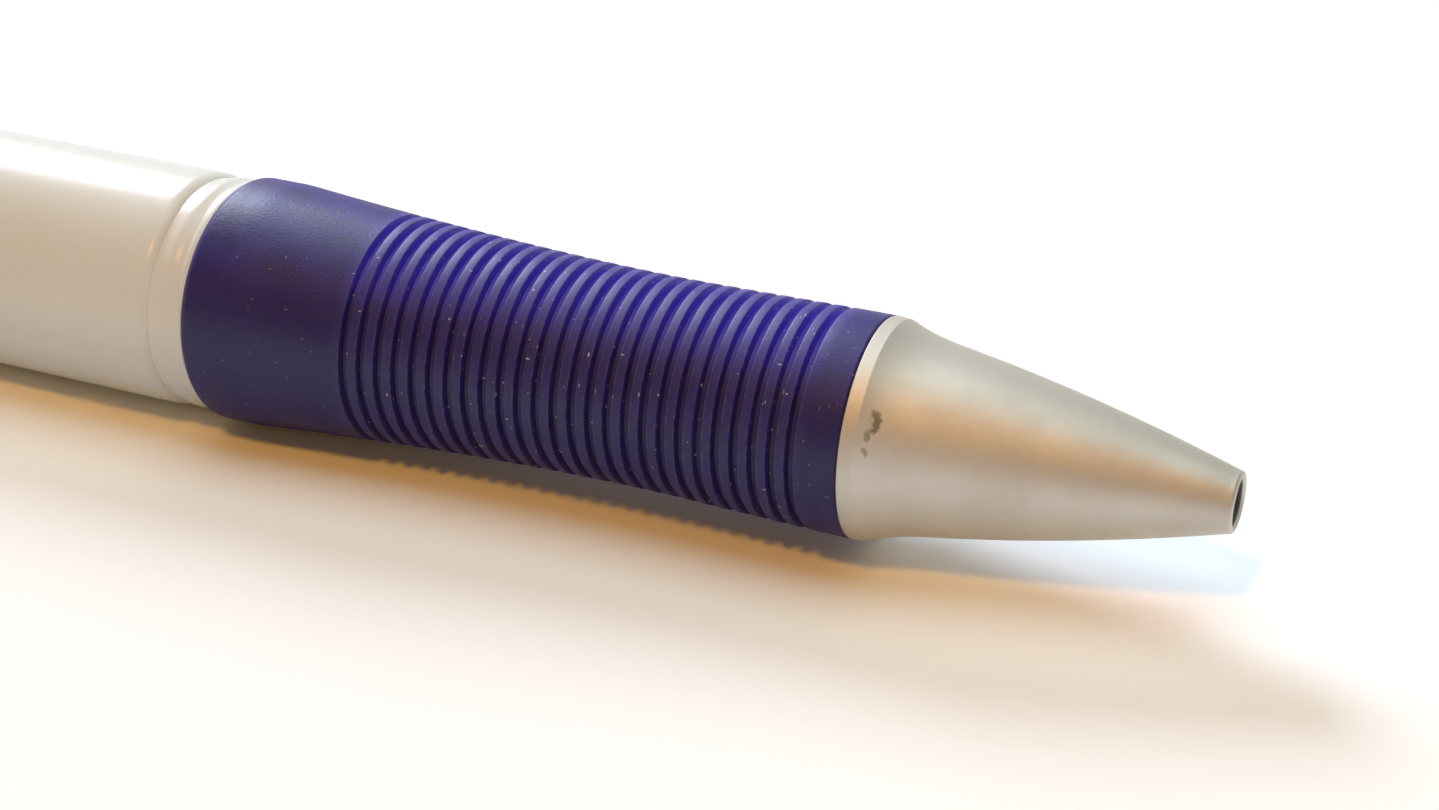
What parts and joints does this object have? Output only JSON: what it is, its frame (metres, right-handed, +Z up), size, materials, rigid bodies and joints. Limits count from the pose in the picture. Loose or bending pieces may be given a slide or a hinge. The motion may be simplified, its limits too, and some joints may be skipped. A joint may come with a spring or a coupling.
{
  "type": "ballpoint pen",
  "caption": "Retractable ballpoint pen lying on its side: white barrel, waisted ribbed rubber grip, satin nose cone, pocket clip and push button, with a sprung refill and click cams inside.",
  "frame": {"origin": "on the surface that the pen lies on, under the middle of its box", "axes": "+X along the pen towards its point, +Z up from the surface; the clip lies on the +Y side"},
  "size_m": [0.141, 0.0148, 0.0124],
  "materials": {
    "satin_metal": "satin plated, fine turned",
    "indigo_rubber": "matt moulded, dusty",
    "white_plastic": "gloss",
    "cam_plastic": "natural moulded",
    "spring_steel": "drawn wire",
    "clear_plastic": "translucent",
    "blue_ink": "wet",
    "follower_grease": "grease",
    "holder_plastic": "moulded",
    "point_brass": "turned",
    "ball_steel": "polished"
  },
  "bodies": {
    "barrel": {"nose_cone": "satin_metal", "grip": "indigo_rubber", "front_section": "white_plastic", "barrel": "white_plastic", "top_collar": "satin_metal", "cam_guide": "cam_plastic", "spring": "spring_steel"},
    "button": {"push_button": "satin_metal", "thrust_cam": "cam_plastic"},
    "refill": {"ink_tube": "clear_plastic", "ink": "blue_ink", "ink_follower": "follower_grease", "point_holder": "holder_plastic", "point": "point_brass"},
    "rotor": {"rotor": "cam_plastic"},
    "ball": {"ball": "ball_steel"},
    "clip": {"clip": "satin_metal"}
  },
  "joints": [
    {"name": "button_press", "type": "slide", "parent": "barrel", "child": "button", "axis": [1, 0, 0], "range_m": [0, 0.007], "stiffness_N_per_m": 200, "springref_m": -0.007},
    {"name": "refill_slide", "type": "slide", "parent": "barrel", "child": "refill", "axis": [1, 0, 0], "range_m": [0, 0.007], "deforming": ["spring"]},
    {"name": "rotor_turn", "type": "hinge", "parent": "refill", "child": "rotor", "pos_m": [-0.0415, -0.00119, 0.0062], "axis": [1, 0, 0], "range_deg": [0, 60.01]},
    {"name": "ball_roll", "type": "hinge", "parent": "refill", "child": "ball", "pos_m": [0.0682, -0.00119, 0.0062], "axis": [0, 1, 0], "continuous": true},
    {"name": "clip_flex", "type": "hinge", "parent": "barrel", "child": "clip", "pos_m": [-0.058, 0.00315, 0.00371], "axis": [0, 0.4972, 0.8676], "range_deg": [0, 4], "stiffness_Nm_per_rad": 2, "springref_deg": -2.86}
  ],
  "couplings": [
    {"joint": "refill_slide", "follows": "button_press", "ratio": 1},
    {"joint": "rotor_turn", "follows": "button_press", "rad_per_m": 149.6}
  ]
}
